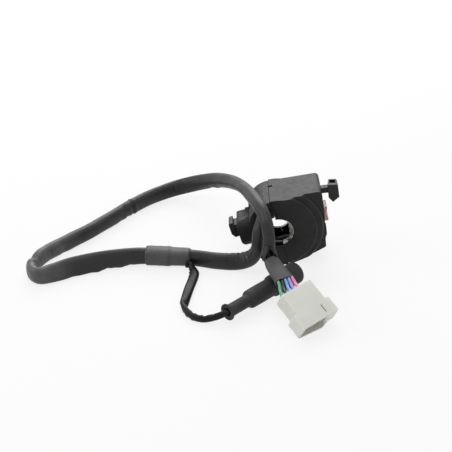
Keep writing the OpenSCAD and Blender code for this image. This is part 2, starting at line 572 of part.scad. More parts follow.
// Branch with its rubber boot
boot_turn = 45;
boot_at = [-40.9, -96.9, floor_z + boot_r];
module at_boot() translate(boot_at) rotate([0, 0, boot_turn]) rotate([0, 90, 0]) children();
module branch_lead() color("#39393a")
    skin(branch_rings(smooth(branch_route, sheath_fine)));
module branch_boot() color("#2b2b2c") at_boot() difference() {
    rotate_extrude() polygon([[0, 0], [6.2, 0], [6.4, 0.3], [6.4, 1.1], [6.1, 1.4], [4.9, 1.9],
        [4.8, 19.5], [5.2, 21], [6.7, 23], [7, 25], [7.2, 46.5], [8, 47.4], [boot_r, 48.4],
        [boot_r, 74.8], [8, 75.4], [0, 75.4]]);
    translate([0, 0, -1]) cylinder(r = 2.8, h = 40);
    translate([0, 0, 26]) cylinder(r = 5.6, h = 30);
    translate([0, 0, 49.4]) cylinder(r = 6.9, h = 40);
}
module branch_plug() color("#202021") at_boot() difference() {
    union() {
        translate([0, 0, 34]) cylinder(r = 5.55, h = 20);
        translate([0, 0, 49.6]) cylinder(r = 6.85, h = 24.8);
    }
    for (s = [-2.4, 2.4]) translate([s - 0.5, -1.6, 66]) cube([1, 3.2, 10]);
}

// Wires inside the casing, from the loom's end to the switches
inner_a = [[-5, -7, 19], [0, -6.8, 20.6], [face_dist - 29, -6.6, 20.4], [face_dist - 23, -6.4, 18.6],
    [face_dist - 19.6, -6.2, 17]];
inner_b = [[-8, -7, 16.6], [-11.5, -6.5, 14.6], [-15.5, -4, 9], [-17.6, -1.6, 5], [-18.2, 0, stem_v]];
module inner_wires() color("#3f4a6a") posed() for (w = [inner_a, inner_b]) let (q = smooth(w, 2))
    skin([for (i = [0:len(q) - 1]) oval(q[i], heading(q, i), [0, 1, 0.2], 0, 0.8, 0.8, 8)]);

rear_case();
front_case();
trigger_pod();
case_screws();
pod_screws();
switch_plate();
plate_screws();
turn_lever();
lever_knob();
detent_spring();
detent_ball();
turn_contact();
turn_base();
turn_terminals();
hazard_rocker();
rocker_pin();
rocker_frame();
rocker_plunger();
rocker_spring();
rocker_seesaw();
rocker_terminals();
horn_button();
horn_spring();
horn_contact();
horn_base();
horn_terminals();
pass_trigger();
trigger_spring();
trigger_contact();
trigger_base();
trigger_terminals();
cable_grommet();
inner_wires();
harness_lead();
junction_sleeve();
harness_loop();
end_sleeve();
wire_green();
wire_white();
wire_black();
wire_blue();
wire_olive();
wire_navy();
wire_purple();
wire_pink();
connector_shell();
connector_terminals();
branch_lead();
branch_boot();
branch_plug();
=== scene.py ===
"""Looks of a handlebar switch cluster with its wiring loom, lying on a pale table."""
import math

import bpy
import numpy as np
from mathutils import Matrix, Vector


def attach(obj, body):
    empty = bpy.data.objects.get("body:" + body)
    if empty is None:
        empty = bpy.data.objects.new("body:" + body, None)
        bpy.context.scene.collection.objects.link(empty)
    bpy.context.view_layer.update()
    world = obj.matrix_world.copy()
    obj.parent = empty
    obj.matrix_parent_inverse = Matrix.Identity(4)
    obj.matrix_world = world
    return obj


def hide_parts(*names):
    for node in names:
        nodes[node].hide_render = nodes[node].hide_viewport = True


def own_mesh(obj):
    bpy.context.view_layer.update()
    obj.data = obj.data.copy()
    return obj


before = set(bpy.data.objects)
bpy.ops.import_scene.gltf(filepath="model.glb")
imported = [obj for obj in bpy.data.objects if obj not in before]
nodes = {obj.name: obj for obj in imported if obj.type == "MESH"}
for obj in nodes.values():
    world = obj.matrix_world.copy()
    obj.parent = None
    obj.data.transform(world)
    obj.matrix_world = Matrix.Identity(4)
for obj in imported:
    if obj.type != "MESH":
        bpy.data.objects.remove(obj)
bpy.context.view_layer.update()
scene = bpy.context.scene
scene.view_settings.view_transform = "Standard"

MM = 0.001
TABLE_Z = -30.3
UP = np.array([0.0, 0.0, 1.0])

# Camera: 30 degrees down, square on to the inboard end of the casing
CAMERA_AT = (-0.0417, -0.6229, 0.3541)
CAMERA_PITCH = 60
LENS_MM = 70.8
SENSOR_MM = 36

lens = bpy.data.cameras.new("camera")
lens.lens = LENS_MM
lens.sensor_width = SENSOR_MM
lens.clip_start = 0.01
lens.clip_end = 30
camera = bpy.data.objects.new("camera", lens)
camera.location = CAMERA_AT
camera.rotation_euler = (math.radians(CAMERA_PITCH), 0, 0)
scene.collection.objects.link(camera)
scene.camera = camera


# Shapes


def unit(a):
    """Vectors scaled to length one."""
    return a/np.linalg.norm(a, axis=-1, keepdims=True)


def smooth(route, fine):
    """Catmull-Rom curve: between two points a cubic whose slope at a point is half the step
    between its neighbours."""
    q = np.asarray(route, float)
    p = np.vstack([q[:1], q, q[-1:]])
    t = np.arange(fine)[:, None]/fine
    a, b, c, d = (p[i:len(q) - 1 + i, None, :] for i in range(4))
    cubic = (2*b + (c - a)*t + (2*a - 5*b + 4*c - d)*t**2 + (3*b - a - 3*c + d)*t**3)/2
    return np.vstack([cubic.reshape(-1, q.shape[1]), q[-1:]])


def run_of(line):
    """Distance along a line of points, from its first point."""
    return np.concatenate([[0], np.cumsum(np.linalg.norm(np.diff(line, axis=0), axis=1))])


def ring_axes(line, up, turn):
    """Way of the line, and the wide and thin directions square to it, turned by turn degrees
    from level about the way."""
    way = unit(np.gradient(line, axis=0))
    rise = unit(up - (way @ up)[:, None]*way)
    side = np.cross(way, rise)
    turn = np.radians(turn)[:, None]
    wide = side*np.cos(turn) + rise*np.sin(turn)
    return way, wide, np.cross(way, wide)


def mesh_piece(name, points, faces, finish, body, corner_uv, replaced):
    """Object at the origin from points in millimetres and faces, riding on a body."""
    mesh = bpy.data.meshes.new(name)
    mesh.from_pydata((np.asarray(points)*MM).tolist(), [], faces)
    layer = mesh.uv_layers.new(name="run")
    layer.data.foreach_set("uv", (np.asarray(corner_uv)*MM).ravel())
    mesh.shade_smooth()
    mesh.materials.append(finish)
    piece = bpy.data.objects.new(name, mesh)
    scene.collection.objects.link(piece)
    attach(piece, body)
    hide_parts(*replaced)
    return piece


def ring_faces(n, m, wrap=False, start=0):
    """Four-sided faces between n rings of m points, and fans that close the end rings unless the
    rings wrap."""
    rows = n if wrap else n - 1
    i, j = np.meshgrid(np.arange(rows), np.arange(m), indexing="ij")
    k, ahead = (j + 1) % m, (i + 1) % n
    quads = np.stack([i*m + j, i*m + k, ahead*m + k, ahead*m + j], -1).reshape(-1, 4) + start
    around = np.arange(m)
    nearby = (around + 1) % m
    caps = np.zeros((0, 3), int)
    if not wrap:
        first = np.stack([np.full(m, n*m), nearby, around], -1)
        last = np.stack([np.full(m, n*m + 1), (n - 1)*m + around, (n - 1)*m + nearby], -1)
        caps = np.vstack([first, last]) + start
    return quads, caps


def ring_uv(rings, wrap=False):
    """Corner coordinates of ring_faces: distance along the rings and distance round the first
    ring, in millimetres."""
    n, m, _ = rings.shape
    centre = rings.mean(1)
    run = run_of(np.vstack([centre, centre[:1]]) if wrap else centre)
    girth = np.linalg.norm(np.roll(rings[0], -1, 0) - rings[0], axis=1).sum()
    rows = n if wrap else n - 1
    i, j = np.meshgrid(np.arange(rows), np.arange(m), indexing="ij")
    v0, v1 = girth*j/m, girth*(j + 1)/m
    quad = np.stack([run[i], v0, run[i], v1, run[i + 1], v1, run[i + 1], v0], -1).reshape(-1, 2)
    if wrap:
        return quad
    a = girth*np.arange(m)/m
    b = a + girth/m
    end = a*0 + run[-1]
    first = np.stack([a*0, a, a*0, b, a*0, a], -1).reshape(-1, 2)
    last = np.stack([end, a, end, a, end, b], -1).reshape(-1, 2)
    return np.vstack([quad, first, last])


def skin(name, bundles, finish, body, replaced, wrap=False):
    """One piece from one or more stacks of rings, each stack a closed tube or, wrapped, a closed
    shell of turning."""
    points, faces, uv, start = [], [], [], 0
    for rings in bundles:
        n, m, _ = rings.shape
        quads, caps = ring_faces(n, m, wrap, start)
        ends = np.zeros((0, 3)) if wrap else np.stack([rings[0].mean(0), rings[-1].mean(0)])
        points += [rings.reshape(-1, 3), ends]
        faces += quads.tolist() + caps.tolist()
        uv.append(ring_uv(rings, wrap))
        start += n*m + len(ends)
    return mesh_piece(name, np.vstack(points), faces, finish, body, np.vstack(uv), replaced)


def bulge(x, middle, width):
    """Bell curve of height one."""
    return np.exp(-((x - middle)/width)**2)


def oval_rings(line, wide, thin, a, b, corner=2.0, round_steps=32):
    """Rings round a line: each a rounded box from an ellipse whose cosine and sine are raised to
    2/corner. Gives the rings, the angles round them and the outward directions."""
    f = np.linspace(0, 2*np.pi, round_steps, endpoint=False)
    c = np.sign(np.cos(f))*np.abs(np.cos(f))**(2/corner)
    s = np.sign(np.sin(f))*np.abs(np.sin(f))**(2/corner)
    out = wide[:, None]*(a[:, None]*c)[..., None] + thin[:, None]*(b[:, None]*s)[..., None]
    return line[:, None] + out, f, unit(out)


def tube_rings(line, radius, up=UP, round_steps=14):
    """Round tube along a line."""
    _, wide, thin = ring_axes(line, up, np.zeros(len(line)))
    r = np.zeros(len(line)) + radius
    return oval_rings(line, wide, thin, r, r, 2.0, round_steps)[0]


def tuck_in(rings, deep, wall):
    """Rings with a hollow at their last end: the mouth's rings go in by the wall, a share of
    their size, and back along the line by the depth."""
    n = len(rings)
    centre = rings.mean(1)
    step = np.linalg.norm(np.diff(centre, axis=0), axis=1).mean()
    back = rings[n - 1 - np.arange(0, max(2, int(deep/step)))]
    middle = back.mean(1, keepdims=True)
    inner = middle + (back - middle)*(1 - wall)
    lip = rings[-1:] + (rings[-1:] - rings[-2:-1])*0.35
    lip = lip.mean(1, keepdims=True) + (lip - lip.mean(1, keepdims=True))*(1 - wall*0.5)
    return np.vstack([rings, lip, inner])


def tear(rings, side, deep, reach):
    """Rings whose last end is torn back on one side: the last stretch slides back along the line
    by a bell of the angle from that side, with small teeth round the edge."""
    centre = rings.mean(1)
    run = run_of(centre)
    out = unit(rings[-1] - centre[-1])
    angle = np.arccos(np.clip(out @ side, -1, 1))
    f = np.linspace(0, 2*np.pi, rings.shape[1], endpoint=False)
    back = deep*bulge(angle, 0, 0.75) + 0.35*np.sin(7*f + 1) + 0.25*np.sin(12*f)
    near = np.clip(1 - (run[-1] - run)/reach, 0, 1)
    way = unit(centre[-1] - centre[-4])
    return rings - near[:, None, None]*back[:, None]*way


# Shader nodes


def add(tree, kind, inputs=(), **settings):
    """Node of a kind, with settings and inputs given by name or number; a node's output is
    linked, a value is set."""
    node = tree.nodes.new(kind)
    for key, value in settings.items():
        setattr(node, key, value)
    for key, value in dict(inputs).items():
        if isinstance(value, bpy.types.NodeSocket):
            tree.links.new(value, node.inputs[key])
        else:
            node.inputs[key].default_value = value
    return node


def reckon(tree, operation, a, b, **settings):
    """Result of an operation on two numbers."""
    return add(tree, "ShaderNodeMath", {0: a, 1: b}, operation=operation, **settings).outputs[0]


def object_place(tree):
    """Coordinates of the object itself, in metres."""
    return add(tree, "ShaderNodeTexCoord").outputs["Object"]


def along_run(tree):
    """Coordinates that follow a drawn piece: distance along it and round it, in metres."""
    return add(tree, "ShaderNodeUVMap", uv_map="run").outputs[0]


def shade(tree, amount, stops):
    """Colour ramp of an amount, through stops of place and grey or colour."""
    ramp = add(tree, "ShaderNodeValToRGB", {0: amount})
    line = ramp.color_ramp.elements
    while len(line) < len(stops):
        line.new(0.5)
    for spot, (place, colour) in zip(line, stops):
        spot.position = place
        spot.color = (*colour, 1) if hasattr(colour, "__len__") else (colour, colour, colour, 1)
    return ramp.outputs[0]


def grain(tree, place, size, detail=3.0, rough=0.55, stretch=(1, 1, 1)):
    """Noise whose grains are about size millimetres wide, stretched along axes of the place."""
    spread = add(tree, "ShaderNodeMapping", {"Vector": place, "Scale": stretch}).outputs[0]
    noise = {"Vector": spread, "Scale": 1000/size, "Detail": detail, "Roughness": rough}
    return add(tree, "ShaderNodeTexNoise", noise).outputs[0]


def mixed(tree, amount, a, b):
    """Colour a turning into colour b by an amount."""
    node = add(tree, "ShaderNodeMix", data_type="RGBA")
    for key, value in ((0, amount), (6, a), (7, b)):
        if isinstance(value, bpy.types.NodeSocket):
            tree.links.new(value, node.inputs[key])
        else:
            node.inputs[key].default_value = (*value, 1) if hasattr(value, "__len__") else value
    return node.outputs[2]


def relief(tree, heights, normal=None):
    """Chain of bumps: pairs of a height and its depth in millimetres."""
    for height, deep in heights:
        inputs = {"Height": height, "Strength": 1.0, "Distance": deep*MM}
        if normal is not None:
            inputs["Normal"] = normal
        normal = add(tree, "ShaderNodeBump", inputs).outputs[0]
    return normal


def edge_of(tree, width):
    """How near a point is to an edge: one less the cosine between the rounded and the true
    normal. Also gives that rounded normal."""
    soft = add(tree, "ShaderNodeBevel", {"Radius": width*MM}, samples=6).outputs[0]
    true = add(tree, "ShaderNodeNewGeometry").outputs["True Normal"]
    dot = add(tree, "ShaderNodeVectorMath", {0: soft, 1: true}, operation="DOT_PRODUCT")
    return reckon(tree, "SUBTRACT", 1.0, dot.outputs["Value"], use_clamp=True), soft


def start_finish(name, **sockets):
    """New material with a principled shader whose plain sockets are set; gives material, tree and
    shader."""
    made = bpy.data.materials.new(name)
    made.use_nodes = True
    shader = made.node_tree.nodes["Principled BSDF"]
    for key, value in sockets.items():
        shader.inputs[key.replace("_", " ")].default_value = value
    return made, made.node_tree, shader


def feed(tree, shader, colour, rough, normal):
    """Links a colour, a roughness and a normal to a shader."""
    for key, output in (("Base Color", colour), ("Roughness", rough), ("Normal", normal)):
        tree.links.new(output, shader.inputs[key])


def lay_over(made, amount, colour):
    """Lays a colour over a finish by an amount, which is an output of the finish's own tree."""
    tree = made.node_tree
    socket = tree.nodes["Principled BSDF"].inputs["Base Color"]
    tree.links.new(mixed(tree, amount, socket.links[0].from_socket, colour), socket)


# Finishes: grain sizes, edge widths and depths are in millimetres
MOULD_EDGE = 0.45
METAL_EDGE = 0.15
NYLON_EDGE = 0.5
BARE_RADIUS = 11.7
BARE_FROM_X = 4


def moulded(name, dark, light, worn, rough, grain_size, grain_deep, **sockets):
    """Moulded plastic: mottled colour, spark-grain bump, uneven gloss, and edges rubbed to a
    lighter colour."""
    made, tree, shader = start_finish(name, **sockets)
    place = object_place(tree)
    cloud = grain(tree, place, 14)
    fine = grain(tree, place, grain_size, 2)
    base = shade(tree, cloud, [(0.35, dark), (0.7, light)])
    near, soft = edge_of(tree, MOULD_EDGE)
    rubbed = reckon(tree, "MULTIPLY", near, grain(tree, place, 2.5, 4))
    worn_by = shade(tree, rubbed, [(0.02, 0.0), (0.16, 0.8)])
    gloss = shade(tree, grain(tree, place, 5, 4), [(0.3, rough[0]), (0.75, rough[1])])
    feed(tree, shader, mixed(tree, worn_by, base, worn), gloss,
         relief(tree, [(fine, grain_deep), (cloud, 0.08)], soft))
    return made


def metal(name, dark, light, rough, streak=(1, 1, 1)):
    """Metal: colour and gloss drawn out in streaks, fine scratches and softened edges."""
    made, tree, shader = start_finish(name, Metallic=1.0)
    place = object_place(tree)
    lines = grain(tree, place, 0.8, 4, 0.6, streak)
    blotch = grain(tree, place, 3, 3)
    _, soft = edge_of(tree, METAL_EDGE)
    colour = mixed(tree, blotch, shade(tree, lines, [(0.3, dark), (0.7, light)]), dark)
    gloss = shade(tree, lines, [(0.3, rough[1]), (0.7, rough[0])])
    feed(tree, shader, colour, gloss, relief(tree, [(lines, 0.01)], soft))
    return made


def drawn(name, dark, light, rough, streak=30, scuff=(0.16, 0.16, 0.16), scuffs=0.66, **sockets):
    """Extruded vinyl: streaks drawn along the run, cloudy bloom, a few scuffs and a slightly
    uneven skin."""
    made, tree, shader = start_finish(name, **sockets)
    run, place = along_run(tree), object_place(tree)
    lines = grain(tree, run, 1.1, 3, 0.6, (1/streak, 1, 1))
    bloom = grain(tree, place, 22, 4)
    base = mixed(tree, bloom, shade(tree, lines, [(0.3, dark), (0.75, light)]), light)
    speckle = grain(tree, run, 4.5, 5, 0.7, (0.6, 1, 1))
    spots = shade(tree, speckle, [(scuffs, 0.0), (scuffs + 0.1, 0.7)])
    gloss = shade(tree, grain(tree, place, 6, 4), [(0.3, rough[0]), (0.75, rough[1])])
    ripple = grain(tree, run, 5, 2, 0.5, (0.5, 1, 1))
    feed(tree, shader, mixed(tree, spots, base, scuff), gloss,
         relief(tree, [(ripple, 0.12), (lines, 0.015)]))
    return made


def wrap_tape():
    """Vinyl tape: wound in lapped turns, so a saw pattern along the run lifts and dulls each
    lap's edge."""
    made, tree, shader = start_finish("wrap_tape", Specular_IOR_Level=0.4)
    run = along_run(tree)
    wave = {"Vector": run, "Scale": 18.0, "Distortion": 0.4, "Detail": 1.0}
    lap = add(tree, "ShaderNodeTexWave", wave, wave_type="BANDS", bands_direction="X",
              wave_profile="SAW").outputs[1]
    cloud = grain(tree, run, 7, 4)
    base = shade(tree, cloud, [(0.3, plain_grey(0.055)), (0.7, plain_grey(0.08))])
    edge = shade(tree, lap, [(0.9, 0.0), (0.98, 0.6)])
    feed(tree, shader, mixed(tree, edge, base, plain_grey(0.03)),
         shade(tree, cloud, [(0.3, 0.4), (0.7, 0.55)]),
         relief(tree, [(lap, 0.15), (grain(tree, run, 1.2, 3), 0.03)]))
    return made


def milky_nylon():
    """Natural nylon: milky and slightly see-through, faint yellow clouds, flow marks and rounded
    edges whose colour is lightened toward white as a painted highlight."""
    made, tree, shader = start_finish("milky_nylon", Specular_IOR_Level=0.5,
                                      Subsurface_Weight=0.35, Subsurface_Scale=0.004,
                                      Subsurface_Radius=(1.0, 0.95, 0.8))
    place = object_place(tree)
    cloud = grain(tree, place, 16, 3)
    near, soft = edge_of(tree, NYLON_EDGE)
    base = shade(tree, cloud, [(0.3, (0.78, 0.79, 0.72)), (0.7, (0.85, 0.855, 0.8))])
    # Painted highlight: the colour turns near white along every edge
    bright = shade(tree, near, [(0.02, 0.0), (0.2, 0.6)])
    flow = grain(tree, place, 3, 4, 0.6, (1, 0.25, 1))
    feed(tree, shader, mixed(tree, bright, base, (0.92, 0.92, 0.88)),
         shade(tree, flow, [(0.3, 0.3), (0.7, 0.44)]),
         relief(tree, [(flow, 0.02), (cloud, 0.1)], soft))
    return made


def bare_in_bore(made):
    """Adds bare scuffed metal to the rider side of the bore: near the bar's axis, where a noise
    is high."""
    tree = made.node_tree
    place = object_place(tree)
    x, _, z = add(tree, "ShaderNodeSeparateXYZ", {0: place}).outputs
    flat = add(tree, "ShaderNodeCombineXYZ", {0: x, 2: z}).outputs[0]
    far = add(tree, "ShaderNodeVectorMath", {0: flat}, operation="LENGTH").outputs["Value"]
    close = reckon(tree, "LESS_THAN", far, BARE_RADIUS*MM)
    there = reckon(tree, "MULTIPLY", close, reckon(tree, "GREATER_THAN", x, BARE_FROM_X*MM))
    torn = shade(tree, grain(tree, place, 5, 4, 0.65), [(0.44, 0.0), (0.5, 1.0)])
    lay_over(made, reckon(tree, "MULTIPLY", there, torn), (0.62, 0.61, 0.57))


def painted_light_at_left(made):
    """Adds painted light to the far left of the loop, whose rounded end faces the light from the
    left: a lighter grey that grows from 160 to 180 millimetres left of the bar's axis, thinned by
    a noise."""
    tree = made.node_tree
    place = object_place(tree)
    x = add(tree, "ShaderNodeSeparateXYZ", {0: place}).outputs[0]
    left = shade(tree, reckon(tree, "MULTIPLY", x, -5.0), [(0.8, 0.0), (0.9, 0.85)])
    light_patchiness = shade(tree, grain(tree, place, 9, 4), [(0.3, 0.55), (0.7, 1.0)])
    # Painted light: a lighter grey laid over the loop's left end where its rounded end faces the
    # left lamp
    lay_over(made, reckon(tree, "MULTIPLY", left, light_patchiness), (0.13, 0.13, 0.13))


def plain_grey(value, warm=0.0):
    """Grey with a little warmth."""
    return (value*(1 + warm), value, value*(1 - warm))


def wire_vinyl(tint, colour):
    """Insulation of a wire: its colour, a little darker in streaks and paler in scuffs."""
    darker = tuple(0.85*x for x in colour)
    paler = tuple(min(1, 1.6*x + 0.02) for x in colour)
    return drawn("wire_" + tint, darker, colour, rough=(0.28, 0.4), streak=40, scuff=paler,
                 scuffs=0.72)


housing = moulded("housing_plastic", plain_grey(0.013), plain_grey(0.02), plain_grey(0.07),
                  rough=(0.4, 0.56), grain_size=0.45, grain_deep=0.03, Specular_IOR_Level=0.26)
bare_in_bore(housing)
control = moulded("control_plastic", plain_grey(0.012), plain_grey(0.02), plain_grey(0.1),
                  rough=(0.34, 0.5), grain_size=0.4, grain_deep=0.015, Specular_IOR_Level=0.26)
hazard_red = moulded("hazard_red_plastic", (0.6, 0.28, 0.27), (0.68, 0.35, 0.34),
                     (0.78, 0.5, 0.48), rough=(0.3, 0.45), grain_size=0.6, grain_deep=0.01)
nylon_black = moulded("black_nylon", plain_grey(0.012), plain_grey(0.02), plain_grey(0.06),
                      rough=(0.45, 0.6), grain_size=0.3, grain_deep=0.012)
phenolic = moulded("brown_phenolic", (0.1, 0.05, 0.022), (0.17, 0.085, 0.04), (0.3, 0.18, 0.1),
                   rough=(0.4, 0.55), grain_size=0.7, grain_deep=0.02)
acetal = moulded("white_acetal", (0.62, 0.6, 0.52), (0.7, 0.68, 0.6), (0.75, 0.74, 0.68),
                 rough=(0.3, 0.42), grain_size=0.6, grain_deep=0.006)
rubber = moulded("boot_rubber", plain_grey(0.022), plain_grey(0.036), plain_grey(0.07),
                 rough=(0.5, 0.68), grain_size=0.8, grain_deep=0.03, Specular_IOR_Level=0.25)
screw_steel = metal("screw_steel", (0.24, 0.24, 0.25), (0.42, 0.42, 0.44), rough=(0.3, 0.5))
zinc = metal("zinc_plate", (0.5, 0.51, 0.53), (0.72, 0.73, 0.75), rough=(0.22, 0.38),
             streak=(1, 0.08, 1))
spring_steel = metal("spring_steel", (0.4, 0.4, 0.41), (0.62, 0.62, 0.64), rough=(0.2, 0.35))
brass = metal("contact_brass", (0.42, 0.28, 0.1), (0.62, 0.46, 0.2), rough=(0.25, 0.42))
vinyl = drawn("sheath_vinyl", plain_grey(0.009, -0.01), plain_grey(0.016, -0.01),
              rough=(0.36, 0.48), scuff=plain_grey(0.07), Specular_IOR_Level=0.36)
# Painted light on the far left end of the loop
painted_light_at_left(vinyl)
sleeve_vinyl = drawn("sleeve_vinyl", plain_grey(0.045, -0.01), plain_grey(0.066, -0.01),
                     rough=(0.44, 0.56), scuff=plain_grey(0.11), Specular_IOR_Level=0.4)
thin_vinyl = drawn("branch_vinyl", plain_grey(0.007), plain_grey(0.012), rough=(0.26, 0.38),
                   scuff=plain_grey(0.05), Specular_IOR_Level=0.14)
tape = wrap_tape()
milky = milky_nylon()
wire_colours = {"green": (0.11, 0.38, 0.23), "white": (0.8, 0.8, 0.76),
                "black": (0.014, 0.014, 0.015), "blue": (0.18, 0.44, 0.88),
                "olive": (0.2, 0.19, 0.08), "navy": (0.03, 0.05, 0.14),
                "purple": (0.48, 0.32, 0.68), "pink": (0.88, 0.31, 0.46)}
wire_finish = {tint: wire_vinyl(tint, colour) for tint, colour in wire_colours.items()}
inner_blue = drawn("inner_wire", (0.05, 0.07, 0.17), (0.06, 0.09, 0.2), rough=(0.3, 0.42),
                   streak=40)

# Frames of the casing
TILT = math.radians(17)
FACE_TILT = math.radians(10)
FACE_DIST = 37


def posed(u, y, v):
    """Point of the casing's own frame, leaning by the lay of the casing on the table."""
    return np.array([u*math.cos(TILT) - v*math.sin(TILT), y,
                     u*math.sin(TILT) + v*math.cos(TILT)])


def on_face(p, y, q):
    """Point of the rider face's frame: p out of the face, q up along it."""
    return posed(FACE_DIST + p*math.cos(FACE_TILT) + q*math.sin(FACE_TILT), y,
                 -p*math.sin(FACE_TILT) + q*math.cos(FACE_TILT))


# Loom: route points are x, y, z, turn of the wide side in degrees and width, in millimetres, as
# in the part's source
SHEATH_GIRTH = 22.6
ROUNDEST = 0.85
ON_EDGE = TABLE_Z + 7
CABLE_D = 11.3
LEAD_X, _, LEAD_Z = posed(-6, 0, 18)
LEAD_UP = np.array([1.0, 1.0, 0.0])
LEAD_FINE = 14
LOOP_FINE = 16
BRANCH_FINE = 16
PUCKER_RADIUS = 20
PUCKER_PITCH = 5.2
BRANCH_W = 8
BRANCH_T = 4.6
ON_FLAT = TABLE_Z + BRANCH_T/2


def lay(x, y, turn, width):
    """Point of a sheath that lies on the table: its height is half the height of the turned
    oval."""
    t = math.radians(turn)
    high = math.hypot(width*math.sin(t), (SHEATH_GIRTH - width)*math.cos(t))
    return [x, y, TABLE_Z + high/2, turn, width]


lead_route = [
    [LEAD_X, -8, LEAD_Z, 90, CABLE_D], [LEAD_X, -19, LEAD_Z, 90, CABLE_D],
    [-12.8, -26, 14.4, 95, 11.6], [-15.6, -31.6, 8.6, 106, 12.2], [-16.6, -33, 0.2, 118, 12.6],
    [-17.6, -32.2, -8, 134, 12.8], [-21, -30.4, -15.6, 150, 13], [-28, -27.8, -21, 166, 13.4],
    [-38, -26, ON_EDGE + 0.2, 174, 14], [-50, -24.5, ON_EDGE, 176, 14],
    [-61, -21.5, ON_EDGE, 178, 14], [-71, -19.4, ON_EDGE, 180, 14]]
loop_route = [
    lay(-105, -17, 90, 14), lay(-116, -18, 86, 14.4), lay(-138, -24.3, 74, 15.6),
    lay(-160, -33, 62, 16), lay(-176, -42, 70, 14.8), lay(-186, -46, 84, 14),
    lay(-192.6, -40, 90, 13.6), lay(-193.4, -28.5, 92, 13.4), lay(-186, -12, 96, 13.4),
    lay(-171, 6, 98, 13.2), lay(-155, 25, 100, 13), lay(-138, 48, 100, 13),
    lay(-122, 69.5, 100, 13.4), [-104, 86, -22.4, 102, 13.8], [-84, 95, -19.6, 106, 14],
    [-66, 88, -11.3, 110, 14], [-51, 72.5, -1, 116, 13.4], [-39.5, 53, 8, 122, 11.8],
    [-30.5, 30, 16.2, 126, 10.8], [-24.5, 8, 22, 126, 10.4], [-19.5, -14, 26.2, 126, 10.4],
    [-15.1, -31, 27.3, 118, 10.4], [-11.4, -42, 22.4, 106, 10], [-9.4, -46.8, 12.5, 102, 10],
    [-9, -49.5, 3, 108, 11], [-8.2, -53.5, -4.2, 146, 12.4]]
branch_route = [
    [-73, -25, -25.6, 90, 7], [-69.6, -27, -26.2, 75, 7.4], [-67.4, -31.8, -27.2, 35, 8],
    [-67, -39.5, ON_FLAT, 0, BRANCH_W], [-70, -57.5, ON_FLAT, 0, BRANCH_W],
    [-72.4, -73, ON_FLAT + 0.2, 10, 7.4], [-72.8, -81.5, -27.3, 60, 6.8],
    [-70.3, -88.5, -27.2, 90, 6.2], [-65.1, -94.5, -27.3, 90, 5.8], [-58, -97.5, -27, 90, 5.6],
    [-50.5, -98, -25.4, 90, 5.4], [-44.5, -97.4, -23.4, 90, 5.2], [-39.6, -95.6, -21.9, 90, 5],
    [-30, -86, -21.8, 90, 5]]
end_route = [[-8.2, -53.5, -4.2, 156], [-3.6, -63, -7, 172], [1.6, -74, -9.4, 180]]

# Kinks: place along the route in points, spread in points, angle round the oval and arc in
# degrees, and height in millimetres
lead_kinks = [
    (8.6, 0.2, 110, 40, -0.7), (9.2, 0.2, 110, 40, 0.4), (7.3, 0.14, 90, 40, -0.5),
    (5.4, 0.14, 0, 50, -0.6)]
loop_kinks = [
    (11.74, 0.03, 90, 70, -1.7), (11.84, 0.06, 90, 70, 0.9), (11.74, 0.03, 180, 70, -0.8),
    (11.8, 0.05, 0, 40, 0.7), (11.35, 0.1, 40, 40, -0.9), (11.5, 0.08, 150, 40, -0.8),
    (11.6, 0.06, 100, 35, 0.5), (11.15, 0.12, 130, 40, -0.6), (8.65, 0.12, 120, 50, -0.9),
    (8.3, 0.2, 60, 50, 0.5), (7.1, 0.16, 0, 60, -2.2), (6.6, 0.2, 0, 50, 0.8),
    (7.6, 0.2, 0, 50, 0.6), (2.3, 0.12, 180, 45, 1.1), (1.95, 0.08, 180, 40, -0.9),
    (1.5, 0.12, 180, 45, 1.0), (1.15, 0.08, 180, 40, -0.7), (3.2, 0.2, 200, 60, -0.5),
    (15.8, 0.1, 200, 60, -0.9), (16.2, 0.1, 200, 60, 0.5), (17.1, 0.1, 250, 40, -0.8),
    (17.5, 0.1, 250, 40, 0.5), (18.0, 0.14, 230, 40, -0.5), (23.2, 0.3, 180, 50, -0.6)]
branch_kinks = [
    (5.9, 0.12, 90, 40, -0.5), (6.5, 0.14, 180, 60, 0.6), (7.2, 0.16, 180, 60, 0.7),
    (7.9, 0.14, 180, 60, 0.5), (6.9, 0.1, 180, 60, -0.5), (7.6, 0.1, 180, 60, -0.4)]


def sheath_thick(width):
    """Thickness that keeps the sheath's girth, but at most a share of the width."""
    return np.minimum(SHEATH_GIRTH - width, ROUNDEST*width)


def branch_thick(width):
    """Thickness of the branch, a little less where it is narrower."""
    return BRANCH_T + 0.05*(width - BRANCH_W)


def sheath_rings(route, up, thick, kinks, fine, pucker, corner=2.3, round_steps=40):
    """Flat tube along a route. Its oval gains kinks, which are bells along the run and round the
    girth, puckers, which are waves on the inner side of a bend whose depth grows with the bend's
    curvature, and two low waves that leave it uneven. Gives the rings and the middle line."""
    q = smooth(route, fine)
    line, turn, width = q[:, :3], q[:, 3], q[:, 4]
    way, wide, thin = ring_axes(line, up, turn)
    rings, f, out = oval_rings(line, wide, thin, width/2, thick(width)/2, corner, round_steps)
    run = run_of(line)
    spot = np.arange(len(q))/fine
    bend = np.gradient(way, axis=0)/np.gradient(run)[:, None]
    inward = np.clip(np.einsum("ijk,ik->ij", out, bend)*PUCKER_RADIUS, 0, 1)
    waves = 0.5 + 0.5*np.sin(2*np.pi*run/PUCKER_PITCH + 0.8*np.sin(run/9))
    lift = -pucker*inward**1.5*waves[:, None]
    for place, spread, angle, arc, high in kinks:
        round_to = np.abs((f - math.radians(angle) + np.pi) % (2*np.pi) - np.pi)
        round_bell = bulge(round_to, 0, math.radians(arc))
        lift = lift + high*bulge(spot, place, spread)[:, None]*round_bell
    lift = lift + 0.12*np.sin(run/11 + 1)[:, None]*np.cos(2*f)
    lift = lift + 0.08*np.sin(run/4.7)[:, None]*np.cos(3*f + 1)
    return rings + out*lift[..., None], line


